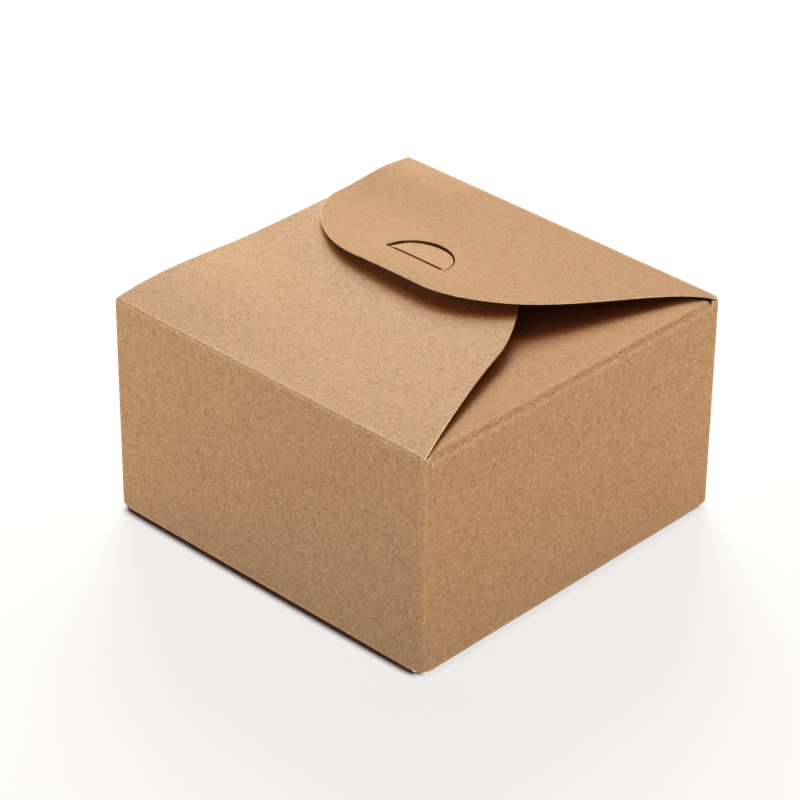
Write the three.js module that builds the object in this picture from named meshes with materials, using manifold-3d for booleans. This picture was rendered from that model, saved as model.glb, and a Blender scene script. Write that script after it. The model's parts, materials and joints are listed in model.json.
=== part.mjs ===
// Candy box: a square box folded from one sheet of kraft board, with two curved lock flaps on top
// that overlap and are held by a half-moon tongue, two dust flaps under them, and a snap-lock base.
// Millimetres, +Z up. The origin is the middle of the base, on the surface that the box stands on.
// The front wall faces -Y and the right wall faces +X.

import * as THREE from 'three';
import { mergeVertices } from 'three/addons/utils/BufferGeometryUtils.js';
import Module from 'manifold-3d';

const wasm = await Module();
wasm.setup();

// Box and board
const boxSide = 95;
const boxHeight = 55; // to the upper face of the front lock flap
const board = 0.4;
const foldRadius = 0.35; // inside radius of a corner fold
const foldSlit = 0.12; // width of the parting line between two panels at a fixed fold
const hingeSlit = 0.12; // clear height between a wall's top edge and the flap that turns above it
const fitGap = 0.3; // clearance between pieces that lie beside or over each other

// Rear lock flap, hinged on the back wall and lying on top
const flapInset = 0.4; // how far a lock flap's sides stay inside the walls' outer faces
const rearReach = 45.4; // from the hinge line to the free edge
const rearSideLength = 25.5; // straight part of its left side
const rearLobeStart = 26; // the level part of its free edge, from the left wall
const rearLobeLength = 20;
const rearBendOut = 19.1; // where its right edge turns from bulging to hollow, from the right end
const rearBendReach = 23.2;
const rearBendHeading = 124.4; // degrees from the hinge line, seen along the edge from the right end
const rearHollowPull = 14; // length of a curve's handle on the hollow side of that point
const rearBulgePull = 12; // and on the bulging side
const rearEndReach = 1.2; // what is left of it at its right end
const rearEndHeading = 158;
const rearEndPull = 7;
const rearLobePull = 13; // at both ends of the level part
const rearCornerHeading = 262; // where the round left corner meets the straight side
const rearCornerPull = 8;

// Front lock flap, hinged on the front wall and lying under the rear one
const tipGap = 0.2; // clear height between its tip and the rear flap, which rises over it
const frontBendOut = 18.4; // where its right edge turns from straight to round, from the right end
const frontBendReach = 42.5;
const frontBendHeading = 109.4;
const frontStraightPull = 12;
const frontRoundPull = 9.1;
const frontEndReach = 0.6;
const frontEndHeading = 116.8;
const frontEndPull = 14;
const frontLobeStart = 28; // the level part of its hidden tip, from the left wall
const frontLobeLength = 17;
const frontLobePull = 13.5;
const frontCornerLength = 9; // how far back from its tip its left side starts to round
const frontCornerHeading = 257;
const frontCornerPull = 7.2;
const slotMargin = 7.7; // board left between the half-moon slot and the tip

// Half-moon lock
const moonRadius = 9;
const moonCentre = 36.6; // from the left wall's outer face
const moonInset = 9; // from the rear flap's free edge to the straight side of the half-moon
const tongueKerf = 0.15; // parting line around the tongue
const slotClearance = 0.4; // the slot in the front flap is larger than the half-moon by this
const tongueBite = 0.5; // how deep the pressed tongue's rim sinks into the slot

// Dust flaps, hinged on the right and left walls
const dustReach = 40;
const dustRootInset = 2.5; // from the corners of the box to the flap's root
const dustTaper = 9; // how much each side draws in along the reach
const dustCorner = 12; // how far from each tip corner its rounding starts
const dustRootSeat = 0.2; // how far the rounded root runs on into the flap
const dustDroop = 8; // degrees below level
const dustGap = 0.1; // clear height between a dust flap's root and the lock flaps' root level

// Glue seam at the back left corner
const seamWidth = 12;
const seamSlant = 5; // how much the tab's ends draw in
const glueFilm = 0.1;
const glueMargin = 1.5;
const seamSetback = 0.3; // the back wall's cut edge stays this far inside the left wall's face

// Snap-lock base
const baseRamp = 7; // a base flap climbs from its fold to its own layer over this length
const shoulderReach = 36; // the lock flap's wide part
const snapWidth = 40; // its tongue
const snapLevel = 1; // the tongue stays level past the wide part for this length
const snapClimb = 15; // and climbs to the inside over this length
const snapTuck = 13; // and lies on the main flap for this length
const notchClearance = 1; // on each side of the tongue in the main flap's notch
const notchRun = 3; // from where the tongue has climbed to the notch's inner end
const earOverlap = 4; // the main flap's ears reach this far over the lock flap's shoulders
const sideEndGap = 3; // from a side flap's end to the tongue
const baseTaper = 2; // how much each side of a base flap draws in
const snapCorner = 6; // the tongue's cut corners

// Fineness of the round forms
const curveSteps = 14; // along each curve of an outline and around a half-moon
const foldSteps = 3; // around half of a corner fold
const beadSides = 12;

// Worked out from the sizes above
const half = boxSide / 2;
const innerHalf = half - board;
const hingeHalf = half - board / 2; // a lock flap turns about the middle of its wall
const lockHingeZ = boxHeight - board / 2;
const lockWallTop = lockHingeZ - board / 2 - hingeSlit;
const dustHingeX = innerHalf - hingeSlit;
const dustHingeZ = lockHingeZ - board / 2 - dustGap - board;
const dustWallTop = dustHingeZ - hingeSlit;
const layer = board + fitGap; // height from one base layer to the next
const hingeSpan = 2 * hingeHalf;
const chordY = hingeHalf - rearReach + moonInset; // the half-moon's straight side
const frontReach = chordY + moonRadius + slotMargin + hingeHalf;
const rearRise = Math.atan((board + tipGap) / (hingeSpan - frontReach));
const chordRise = (rearReach - moonInset) * Math.sin(rearRise);
const tongueTilt = Math.asin((chordRise - board + tongueBite) / moonRadius) - rearRise;
const rootHalf = innerHalf - fitGap; // a base flap's half width at its fold
const wideHalf = rootHalf - baseRamp; // and past the mitre that it shares with its neighbour
const climbStart = shoulderReach + snapLevel;
const climbEnd = climbStart + snapClimb;
const notchReach = climbEnd + notchRun; // the notch's inner end, from the front wall
const snapReach = notchReach + snapTuck;

const kraftOutside = new THREE.Color(0xc8a177);
const kraftInside = new THREE.Color(0xbd9468);
const glueColour = new THREE.Color(0xe6dcc3);

function paper(colour) {
  return new THREE.MeshStandardMaterial({ color: colour, roughness: 0.92, metalness: 0 });
}

// Joining and cutting

function solidOf(geometry) {
  const bare = geometry.clone();
  bare.deleteAttribute('normal');
  bare.deleteAttribute('uv');
  const merged = mergeVertices(bare, 1e-5);
  return new wasm.Manifold(new wasm.Mesh({
    numProp: 3,
    vertProperties: new Float32Array(merged.attributes.position.array),
    triVerts: new Uint32Array(merged.index.array),
  }));
}

function geometryOf(solid) {
  const mesh = solid.getMesh();
  const geometry = new THREE.BufferGeometry();
  geometry.setAttribute('position', new THREE.BufferAttribute(mesh.vertProperties, 3));
  geometry.setIndex(new THREE.BufferAttribute(mesh.triVerts, 1));
  geometry.computeVertexNormals();
  return geometry;
}

function named(name, geometry, colour = kraftOutside) {
  const mesh = new THREE.Mesh(geometry, paper(colour));
  mesh.name = name;
  return mesh;
}

function at(x, y, z, ...children) {
  const group = new THREE.Group();
  group.position.set(x, y, z);
  group.add(...children);
  return group;
}

// An outline in plan, raised to the given thickness with its underside at the given height
function plate(shape, bottom, thickness, curveSegments = curveSteps) {
  const settings = { depth: thickness, bevelEnabled: false, curveSegments };
  const geometry = new THREE.ExtrudeGeometry(shape, settings);
  return geometry.translate(0, 0, bottom);
}

function polygon(points) {
  return new THREE.Shape(points.map(([x, y]) => new THREE.Vector2(x, y)));
}

// The bead of a fold: a thin rod along X, centred on the hinge line
function foldBead(length) {
  const rod = new THREE.CylinderGeometry(board / 2, board / 2, length, beadSides);
  return rod.rotateZ(Math.PI / 2);
}

// Walls

// Half of a corner fold in plan, about its centre, from the flat of the panel to the fold's middle
function halfFold(shape, centreX, mirrored) {
  const outer = foldRadius + board;
  const flat = -Math.PI / 2;
  const side = mirrored ? 1 : -1;
  const reach = (radius) => flat + side * (Math.PI / 4 - Math.asin(foldSlit / 2 / radius));
  if (mirrored) {
    shape.absarc(centreX, outer, outer, flat, reach(outer), false);
    shape.absarc(centreX, outer, foldRadius, reach(foldRadius), flat, true);
  } else {
    shape.absarc(centreX, outer, foldRadius, flat, reach(foldRadius), true);
    shape.absarc(centreX, outer, outer, reach(outer), flat, false);
  }
}

// A panel in plan: X along the wall, its outer face at Y = 0 and its inner face at Y = board
function panelOutline(length, foldAtStart, foldAtEnd) {
  const bend = foldRadius + board;
  const shape = new THREE.Shape();
  shape.moveTo(foldAtStart ? bend : 0, 0);
  shape.lineTo(length - (foldAtEnd ? bend : 0), 0);
  if (foldAtEnd) halfFold(shape, length - bend, true);
  else shape.lineTo(length, board);
  shape.lineTo(foldAtStart ? bend : 0, board);
  if (foldAtStart) halfFold(shape, bend, false);
  return shape;
}

function panel(length, foldAtStart, foldAtEnd, bottom, top) {
  return plate(panelOutline(length, foldAtStart, foldAtEnd), bottom, top - bottom, foldSteps);
}

function frontWall() {
  const mesh = named('front_wall', panel(boxSide, true, true, 0, lockWallTop));
  mesh.position.set(-half, -half, 0);
  return mesh;
}

function rightWall() {
  const mesh = named('right_wall', panel(boxSide, true, true, 0, dustWallTop));
  mesh.position.set(half, -half, 0);
  mesh.rotation.z = Math.PI / 2;
  return mesh;
}

function backWall() {
  const mesh = named('back_wall', panel(boxSide - seamSetback, true, false, 0, lockWallTop));
  mesh.position.set(half, half, 0);
  mesh.rotation.z = Math.PI;
  return mesh;
}

// The left wall ends at the seam, inside the back wall by the board and the glue
function leftWall() {
  const length = boxSide - board - glueFilm;
  const mesh = named('left_wall', panel(length, true, true, 0, dustWallTop));
  mesh.position.set(-half, half - board - glueFilm, 0);
  mesh.rotation.z = -Math.PI / 2;
  return mesh;
}

// The tab folds off the left wall and lies inside the back wall
function seamTab() {
  const bottom = baseRamp;
  const top = lockWallTop - fitGap;
  const strip = solidOf(panel(seamWidth, false, true, bottom, top));
  const face = polygon([
    [-board, bottom + seamSlant],
    [seamWidth - foldRadius - board, bottom],
    [seamWidth, bottom],
    [seamWidth, top],
    [seamWidth - foldRadius - board, top],
    [-board, top - seamSlant],
  ]);
  const thick = 2 * (foldRadius + board);
  const slanted = new THREE.ExtrudeGeometry(face, { depth: thick, bevelEnabled: false });
  slanted.rotateX(Math.PI / 2).translate(0, thick - board, 0);
  const mesh = named('seam_tab', geometryOf(strip.intersect(solidOf(slanted))), kraftInside);
  mesh.position.set(-half + seamWidth, half - board - glueFilm, 0);
  mesh.rotation.z = Math.PI;
  return mesh;
}

function seamGlue() {
  const width = seamWidth - foldRadius - board - 2 * glueMargin;
  const height = lockWallTop - fitGap - baseRamp - 2 * seamSlant;
  const film = new THREE.BoxGeometry(width, glueFilm, height);
  const mesh = named('seam_glue', film, glueColour);
  mesh.position.set(
    -half + seamWidth - glueMargin - width / 2,
    half - board - glueFilm / 2,
    baseRamp + seamSlant + height / 2,
  );
  return mesh;
}

// Lock flaps

// Runs a smooth edge through anchors. Each has a place, the heading of the edge there in degrees
// from +X, and the lengths of the curve handles before and after it.
function edgeThrough(shape, anchors) {
  anchors.slice(1).forEach((to, index) => {
    const from = anchors[index];
    const leave = THREE.MathUtils.degToRad(from.heading);
    const arrive = THREE.MathUtils.degToRad(to.heading);
    shape.bezierCurveTo(
      from.x + from.after * Math.cos(leave), from.y + from.after * Math.sin(leave),
      to.x - to.before * Math.cos(arrive), to.y - to.before * Math.sin(arrive),
      to.x, to.y,
    );
  });
}

// Outlines start at the hinge line's left end. X runs from the left wall's outer face and
// Y is the distance from the hinge line. The level part of the free edge runs towards -X.
function rearOutline() {
  const right = boxSide - flapInset;
  const level = { y: rearReach, heading: 180, before: rearLobePull, after: rearLobePull };
  const shape = new THREE.Shape();
  shape.moveTo(flapInset, 0);
  shape.lineTo(right, 0);
  shape.lineTo(right, rearEndReach);
  edgeThrough(shape, [
    { x: right, y: rearEndReach, heading: rearEndHeading, after: rearEndPull },
    {
      x: right - rearBendOut, y: rearBendReach, heading: rearBendHeading,
      before: rearHollowPull, after: rearBulgePull,
    },
    { ...level, x: rearLobeStart + rearLobeLength },
  ]);
  shape.lineTo(rearLobeStart, rearReach);
  edgeThrough(shape, [
    { ...level, x: rearLobeStart },
    { x: flapInset, y: rearSideLength, heading: rearCornerHeading, before: rearCornerPull },
  ]);
  return shape;
}

function frontOutline() {
  const right = boxSide - flapInset;
  const level = { y: frontReach, heading: 180, before: frontLobePull, after: frontLobePull };
  const shape = new THREE.Shape();
  shape.moveTo(flapInset, 0);
  shape.lineTo(right, 0);
  shape.lineTo(right, frontEndReach);
  edgeThrough(shape, [
    { x: right, y: frontEndReach, heading: frontEndHeading, after: frontEndPull },
    {
      x: right - frontBendOut, y: frontBendReach, heading: frontBendHeading,
      before: frontStraightPull, after: frontRoundPull,
    },
    { ...level, x: frontLobeStart + frontLobeLength },
  ]);
  shape.lineTo(frontLobeStart, frontReach);
  edgeThrough(shape, [
    { ...level, x: frontLobeStart },
    {
      x: flapInset, y: frontReach - frontCornerLength, heading: frontCornerHeading,
      before: frontCornerPull,
    },
  ]);
  return shape;
}

// A half-moon with its round side towards +Y, its straight side set back from the hinge line
function halfMoon(centreX, centreY, radius, setback) {
  const path = new THREE.Path();
  path.moveTo(centreX - radius, centreY - setback);
  path.lineTo(centreX + radius, centreY - setback);
  path.lineTo(centreX + radius, centreY);
  path.absarc(centreX, centreY, radius, 0, Math.PI, false);
  return path;
}

// The plate and its fold bead as one solid
function flapSolid(outline) {
  const sheet = solidOf(plate(outline, -board / 2, board));
  const bead = foldBead(boxSide - 2 * flapInset).translate(half, 0, 0);
  return sheet.add(solidOf(bead));
}

function frontLockFlap() {
  const outline = frontOutline();
  const slotY = chordY + hingeHalf;
  outline.holes.push(halfMoon(moonCentre, slotY, moonRadius + slotClearance, board / 2 + tongueKerf));
  const mesh = named('front_lock_flap', geometryOf(flapSolid(outline)));
  mesh.position.x = -half;
  return at(0, -hingeHalf, lockHingeZ, mesh);
}

// The flap points towards -Y, so its solid is turned over, and it rises towards its free edge
function rearLockFlap() {
  const outline = rearOutline();
  const hole = halfMoon(moonCentre, 0, moonRadius, board / 2 + tongueKerf).getPoints(curveSteps);
  const chordReach = rearReach - moonInset;
  outline.holes.push(new THREE.Path(hole.map((p) => new THREE.Vector2(p.x, chordReach - p.y))));
  const mesh = named('rear_lock_flap', geometryOf(flapSolid(outline)));
  mesh.rotation.x = Math.PI;
  mesh.position.x = -half;
  const hinge = at(0, hingeHalf, lockHingeZ, mesh, lockTongue());
  hinge.rotation.x = -rearRise;
  return hinge;
}

// A half-disc with the bead of its own fold along the straight side
function lockTongue() {
  const radius = moonRadius - tongueKerf;
  const outline = new THREE.Shape();
  outline.absarc(0, 0, radius, 0, Math.PI, false);
  const sheet = solidOf(plate(outline, -board / 2, board));
  const bead = solidOf(foldBead(2 * (radius - tongueKerf)));
  const mesh = named('lock_tongue', geometryOf(sheet.add(bead)));
  const hinge = at(moonCentre - half, chordY - hingeHalf, 0, mesh);
  hinge.rotation.x = -tongueTilt;
  return hinge;
}

// Dust flaps

// In plan: X is the distance from the hinge line, into the box, and Y runs along it
function dustOutline() {
  const root = half - dustRootInset;
  const tip = root - dustTaper;
  const shape = new THREE.Shape();
  shape.moveTo(0, -root);
  shape.lineTo(dustReach - dustCorner, -tip - dustTaper * dustCorner / dustReach);
  shape.quadraticCurveTo(dustReach, -tip, dustReach, -tip + dustCorner);
  shape.lineTo(dustReach, tip - dustCorner);
  shape.quadraticCurveTo(dustReach, tip, dustReach - dustCorner, tip + dustTaper * dustCorner / dustReach);
  shape.lineTo(0, root);
  return shape;
}

// The flap turns about the inner edge of its root, and its rounded root covers the wall's top edge
function dustSolid() {
  const sheet = solidOf(plate(dustOutline(), 0, board));
  const quarter = new THREE.Shape();
  quarter.moveTo(0, 0);
  quarter.lineTo(dustRootSeat, 0);
  quarter.lineTo(dustRootSeat, board);
  quarter.lineTo(0, board);
  quarter.absarc(0, 0, board, Math.PI / 2, Math.PI, false);
  const length = boxSide - 2 * dustRootInset;
  const settings = { depth: length, bevelEnabled: false, curveSegments: foldSteps };
  const root = new THREE.ExtrudeGeometry(quarter, settings);
  root.rotateX(Math.PI / 2).translate(0, length / 2, 0);
  return sheet.add(solidOf(root));
}

function leftDustFlap() {
  const mesh = named('left_dust_flap', geometryOf(dustSolid()), kraftInside);
  const hinge = at(-dustHingeX, 0, dustHingeZ, mesh);
  hinge.rotation.y = THREE.MathUtils.degToRad(dustDroop);
  return hinge;
}

function rightDustFlap() {
  const mesh = named('right_dust_flap', geometryOf(dustSolid()), kraftInside);
  mesh.rotation.z = Math.PI;
  const hinge = at(dustHingeX, 0, dustHingeZ, mesh);
  hinge.rotation.y = -THREE.MathUtils.degToRad(dustDroop);
  return hinge;
}

// Base flaps

// A bent sheet seen from the side: Y is the distance from the wall and Z the height of its underside
function bentSheet(stations, width) {
  const under = stations.map(([y, z]) => new THREE.Vector2(y, z));
  const over = stations.map(([y, z]) => new THREE.Vector2(y, z + board)).reverse();
  const side = new THREE.Shape([...under, ...over]);
  const sheet = new THREE.ExtrudeGeometry(side, { depth: width, bevelEnabled: false });
  // from the side view's own axes to X along the wall, Y into the box and Z up
  const turn = new THREE.Matrix4().makeBasis(
    new THREE.Vector3(0, 1, 0), new THREE.Vector3(0, 0, 1), new THREE.Vector3(1, 0, 0),
  );
  return sheet.applyMatrix4(turn).translate(-width / 2, 0, 0);
}

// A base flap lies along the front wall and is turned to its own. Neighbours meet on a mitre while
// they climb, so that they share each corner.
function baseFlap(name, stations, outline, turn) {
  const sheet = solidOf(bentSheet(stations, boxSide));
  const blank = solidOf(plate(outline, -board, boxHeight));
  const mesh = named(name, geometryOf(sheet.intersect(blank)), kraftInside);
  const group = at(0, 0, 0, mesh);
  mesh.position.y = -innerHalf;
  group.rotation.z = turn;
  return group;
}

// The outermost flap, on the front wall, with the tongue that climbs through the notch
function baseLockFlap() {
  const stations = [
    [foldSlit, 0],
    [climbStart, 0],
    [climbEnd, 3 * layer],
    [snapReach, 3 * layer],
  ];
  const snapHalf = snapWidth / 2;
  const outline = polygon([
    [-rootHalf, 0], [rootHalf, 0],
    [wideHalf, baseRamp], [wideHalf - baseTaper, shoulderReach],
    [snapHalf, shoulderReach], [snapHalf, snapReach - snapCorner],
    [snapHalf - snapCorner, snapReach], [-snapHalf + snapCorner, snapReach],
    [-snapHalf, snapReach - snapCorner], [-snapHalf, shoulderReach],
    [-wideHalf + baseTaper, shoulderReach], [-wideHalf, baseRamp],
  ]);
  return baseFlap('base_lock_flap', stations, outline, 0);
}

// The innermost flap, on the back wall, with the notch between two ears
function baseMainFlap() {
  const reach = 2 * innerHalf - shoulderReach + earOverlap;
  const notch = 2 * innerHalf - notchReach;
  const notchHalf = snapWidth / 2 + notchClearance;
  const stations = [[foldSlit, 0], [baseRamp, 2 * layer], [reach, 2 * layer]];
  const outline = polygon([
    [-rootHalf, 0], [rootHalf, 0],
    [wideHalf, baseRamp], [wideHalf - baseTaper, reach],
    [notchHalf, reach], [notchHalf, notch],
    [-notchHalf, notch], [-notchHalf, reach],
    [-wideHalf + baseTaper, reach], [-wideHalf, baseRamp],
  ]);
  return baseFlap('base_main_flap', stations, outline, Math.PI);
}

// The two side flaps lie between the main flap and the lock flap and end short of the tongue
function baseSideFlap(name, turn) {
  const reach = innerHalf - snapWidth / 2 - sideEndGap;
  const stations = [[foldSlit, 0], [baseRamp, layer], [reach, layer]];
  const outline = polygon([
    [-rootHalf, 0], [rootHalf, 0],
    [wideHalf, baseRamp], [wideHalf - baseTaper, reach],
    [-wideHalf + baseTaper, reach], [-wideHalf, baseRamp],
  ]);
  return baseFlap(name, stations, outline, turn);
}

const candyBox = new THREE.Group();
candyBox.add(
  frontWall(),
  rightWall(),
  backWall(),
  leftWall(),
  seamTab(),
  seamGlue(),
  frontLockFlap(),
  rearLockFlap(),
  leftDustFlap(),
  rightDustFlap(),
  baseLockFlap(),
  baseMainFlap(),
  baseSideFlap('base_right_flap', Math.PI / 2),
  baseSideFlap('base_left_flap', -Math.PI / 2),
);

export default candyBox;
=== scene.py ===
"""The looks of the candy box: sheets of kraft board, folded at their creases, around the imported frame.

The frame is in metres. Sheets are worked out in millimetres and turned into metres as their meshes are made.
"""

import json
import math
from collections import namedtuple

import bmesh
import bpy
import numpy as np
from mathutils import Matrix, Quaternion, Vector, noise
from mathutils.geometry import delaunay_2d_cdt

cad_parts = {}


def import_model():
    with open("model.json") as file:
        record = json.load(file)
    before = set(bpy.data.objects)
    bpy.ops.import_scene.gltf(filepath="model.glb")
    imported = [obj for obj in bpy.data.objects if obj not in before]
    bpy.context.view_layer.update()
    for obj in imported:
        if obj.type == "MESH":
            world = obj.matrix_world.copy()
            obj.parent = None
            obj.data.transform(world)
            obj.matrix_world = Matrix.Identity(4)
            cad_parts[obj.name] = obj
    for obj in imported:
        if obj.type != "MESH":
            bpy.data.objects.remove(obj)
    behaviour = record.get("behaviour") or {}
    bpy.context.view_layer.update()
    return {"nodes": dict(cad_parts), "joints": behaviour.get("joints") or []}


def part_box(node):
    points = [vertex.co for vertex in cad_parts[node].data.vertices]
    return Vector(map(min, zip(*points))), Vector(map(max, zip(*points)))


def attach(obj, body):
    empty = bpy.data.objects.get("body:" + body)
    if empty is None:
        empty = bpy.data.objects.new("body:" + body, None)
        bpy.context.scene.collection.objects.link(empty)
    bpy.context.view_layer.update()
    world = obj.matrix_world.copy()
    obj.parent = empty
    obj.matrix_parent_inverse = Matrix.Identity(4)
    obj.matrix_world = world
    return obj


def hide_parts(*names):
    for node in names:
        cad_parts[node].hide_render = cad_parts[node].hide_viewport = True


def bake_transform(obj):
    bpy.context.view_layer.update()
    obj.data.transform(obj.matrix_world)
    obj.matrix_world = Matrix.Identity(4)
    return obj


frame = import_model()

MM = 0.001
UP = np.array((0.0, 0.0, 1.0))

# Sizes of the frame, in millimetres
SIDE = (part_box("right_wall")[1].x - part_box("left_wall")[0].x) / MM
HALF = SIDE / 2
BOARD = (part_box("front_lock_flap")[1].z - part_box("front_lock_flap")[0].z) / MM
BACK_END = -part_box("back_wall")[0].x / MM
TAB_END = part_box("seam_tab")[1].x / MM
TAB_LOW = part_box("seam_tab")[0].z / MM
TAB_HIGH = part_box("seam_tab")[1].z / MM
TAB_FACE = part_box("left_wall")[1].y / MM
JOINTS = {joint["child"]: joint for joint in frame["joints"]}

# Folds, in millimetres
CORNER_RADIUS = 0.75  # outer radius of the four upright corners
LOCK_RADIUS = 0.45  # and of the lock flaps' creases
DUST_RADIUS = 1.5  # the dust flaps bend over softly
BASE_RADIUS = 0.55
STRIP = 1.0  # height of wall that belongs to a flap's sheet
RIM = 0.08  # how far a cut edge is broken
RIM_ROUGHNESS = 0.03
RIM_GRAIN = 0.9
CORNER_NOTCH = 0.5  # a lock flap's crease ends this far inside the flap's side
BASE_NOTCH = 1.9  # a base flap is this much narrower past its shoulders
BASE_SHOULDER = 0.3
CLIMB_EASE = 0.8  # the steps of the base panels are eased over this length
CORNER_CUT = 2.6  # the walls' lower corners are cut back over this length
CORNER_FOOT = 0.5  # from this height beside the base flap
CORNER_RISE = 1.0  # to this one at the upright fold
TAB_SLANT = 5.0
OUT_OF_SQUARE = 0.9
ROOT_END = 0.5  # a flap solid's outline nearer to the crease than this is its root
RUB_AND_LIGHT_BESIDE = 0.35  # a crease is rubbed pale, with painted light, this far beside its fold

# Meshing, in millimetres
CURVE_STEP = 0.5
GRID_STEP = 2.0
FOOT_ROWS = (0.8, 1.2)  # lines of the walls' mesh near their foot
MIDDLE_ROWS = (2.0, 51.0)  # evenly spaced lines between these heights
TOP_ROWS = (51.5, 52.5, 53.0, 53.4)  # and near their top
BESIDE_CORNER = 1.2  # lines across the walls keep this far from an upright fold
FOLD_STEPS = 8
BESIDE_FOLD = (0.25, 0.6, 1.1)  # lines of the mesh beside a fold
SHARP_CORNER = math.radians(22)  # an outline's sharper turns stay corners
LONG_RUN = 6.0  # and its longer steps stay straight
CLEAR_OF_RIM = 0.25
ON_LINE = 1e-4
SHADE_SMOOTH_BELOW = math.radians(30)

Wall = namedtuple("Wall", "origin along inward start")


def vec(*values):
    return np.array(values, float)


def wall_facing(angle, start):
    """The wall whose outward normal is at that angle in plan; start is its middle on the unfolded strip."""
    outward = vec(math.cos(angle), math.sin(angle), 0).round(9)
    return Wall(outward * HALF, vec(-outward[1], outward[0], 0), -outward, start)


TAB_RUN = TAB_END + HALF - CORNER_RADIUS
CORNER_RUN = CORNER_RADIUS * math.pi / 2
LEFT_RUN = TAB_FACE - CORNER_RADIUS + HALF - CORNER_RADIUS
FULL_RUN = SIDE - 2 * CORNER_RADIUS
BACK_RUN = HALF - CORNER_RADIUS + BACK_END
LEFT_START = TAB_RUN + CORNER_RUN
FRONT_START = LEFT_START + LEFT_RUN + CORNER_RUN
RIGHT_START = FRONT_START + FULL_RUN + CORNER_RUN
BACK_START = RIGHT_START + FULL_RUN + CORNER_RUN
STRIP_END = BACK_START + BACK_RUN

LEFT = wall_facing(math.pi, LEFT_START + LEFT_RUN - FULL_RUN / 2)
FRONT = wall_facing(-math.pi / 2, FRONT_START + FULL_RUN / 2)
RIGHT = wall_facing(0, RIGHT_START + FULL_RUN / 2)
BACK = wall_facing(math.pi / 2, BACK_START + FULL_RUN / 2)


def smoothstep(value):
    clipped = np.clip(value, 0, 1)
    return clipped * clipped * (3 - 2 * clipped)


def curve_through(*points):
    """A smooth function through points of place and height, level before the first and after the last."""
    places, heights = np.array(points, float).T
    slopes = np.gradient(heights, places)
    slopes[-1] = 0

    def value(x):
        x = np.clip(x, places[0], places[-1])
        i = np.clip(np.searchsorted(places, x) - 1, 0, len(places) - 2)
        width = places[i + 1] - places[i]
        t = (x - places[i]) / width
        return (
            (2 * t**3 - 3 * t**2 + 1) * heights[i]
            + (t**3 - 2 * t**2 + t) * width * slopes[i]
            + (3 * t**2 - 2 * t**3) * heights[i + 1]
            + (t**3 - t**2) * width * slopes[i + 1]
        )

    return value


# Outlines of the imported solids


def face_loops(node, side, facing=0.995):
    """The normal of a node's face on one side, and the loops around that face, the longest first."""
    mesh = bmesh.new()
    mesh.from_mesh(frame["nodes"][node].data)
    bmesh.ops.remove_doubles(mesh, verts=mesh.verts, dist=1e-6)
    near = [f for f in mesh.faces if f.normal.dot(Vector(side)) > 0.9]
    normal = sum((f.normal * f.calc_area() for f in near), Vector()).normalized()
    turned = [f for f in mesh.faces if f.normal.dot(normal) < facing]
    bmesh.ops.delete(mesh, geom=turned, context="FACES")
    ahead = {}
    for face in mesh.faces:
        for corner in face.loops:
            if corner.edge.is_boundary:
                ahead[corner.vert] = corner.link_loop_next.vert
    loops = []
    while ahead:
        vertex = next(iter(ahead))
        loop = []
        while vertex in ahead:
            loop.append(np.array(vertex.co) / MM)
            vertex = ahead.pop(vertex)
        loops.append(np.array(loop))
    mesh.free()
    return np.array(normal), sorted(loops, key=len, reverse=True)


def between(place, start, end, first, second):
    """The first value at the start and the second at the end, with a straight change between them."""
    return (end - place) / (end - start) * first + (place - start) / (end - start) * second


def spline(points, step):
    """A smooth line through points, drawn with short chords, without its last point."""
    drawn = []
    for i in range(1, len(points) - 2):
        p0, p1, p2, p3 = points[i - 1:i + 3]
        t0 = 0
        t1 = t0 + max(np.linalg.norm(p1 - p0), 1e-9) ** 0.5
        t2 = t1 + max(np.linalg.norm(p2 - p1), 1e-9) ** 0.5
        t3 = t2 + max(np.linalg.norm(p3 - p2), 1e-9) ** 0.5
        count = max(1, math.ceil(np.linalg.norm(p2 - p1) / step))
        for t in np.linspace(t1, t2, count, endpoint=False):
            a1 = between(t, t0, t1, p0, p1)
            a2 = between(t, t1, t2, p1, p2)
            a3 = between(t, t2, t3, p2, p3)
            b1 = between(t, t0, t2, a1, a2)
            b2 = between(t, t1, t3, a2, a3)
            drawn.append(between(t, t1, t2, b1, b2))
    return drawn


def redrawn(points, closed):
    """A faceted outline with its round runs drawn smoothly. Its corners and long runs stay."""
    points = np.array(points, float)
    count = len(points)
    step_to = np.roll(points, -1, 0) - points
    lengths = np.linalg.norm(step_to, axis=1)
    headings = np.arctan2(step_to[:, 1], step_to[:, 0])
    turns = np.abs((headings - np.roll(headings, 1) + math.pi) % (2 * math.pi) - math.pi)
    knots = (turns > SHARP_CORNER) | (lengths > LONG_RUN) | (np.roll(lengths, 1) > LONG_RUN)
    if not closed:
        knots[0] = knots[-1] = True
    places = np.flatnonzero(knots)
    drawn = []
    last = len(places) if closed else len(places) - 1
    for k in range(last):
        start, end = places[k], places[(k + 1) % len(places)]
        indices = (start + np.arange((end - start) % count + 1)) % count
        run = points[indices]
        if len(run) == 2:
            pieces = max(1, math.ceil(np.linalg.norm(run[1] - run[0]) / (2 * CURVE_STEP)))
            drawn.extend(run[0] + (run[1] - run[0]) * i / pieces for i in range(pieces))
        else:
            padded = np.vstack([2 * run[0] - run[1], run, 2 * run[-1] - run[-2]])
            drawn.extend(spline(padded, CURVE_STEP))
    if not closed:
        drawn.append(points[-1])
    return np.array(drawn)


# Sheets of board


def crossing(start, end, columns, rows):
    """Points along a straight line, without its end, wherever it crosses the mesh's columns and rows."""
    shares = {0.0}
    for axis, lines in ((0, columns), (1, rows)):
        span = end[axis] - start[axis]
        if abs(span) > 1e-9:
            shares.update(t for t in (np.array(lines) - start[axis]) / span if 1e-4 < t < 1 - 1e-4)
    return [start + (end - start) * t for t in sorted(shares)]


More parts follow.
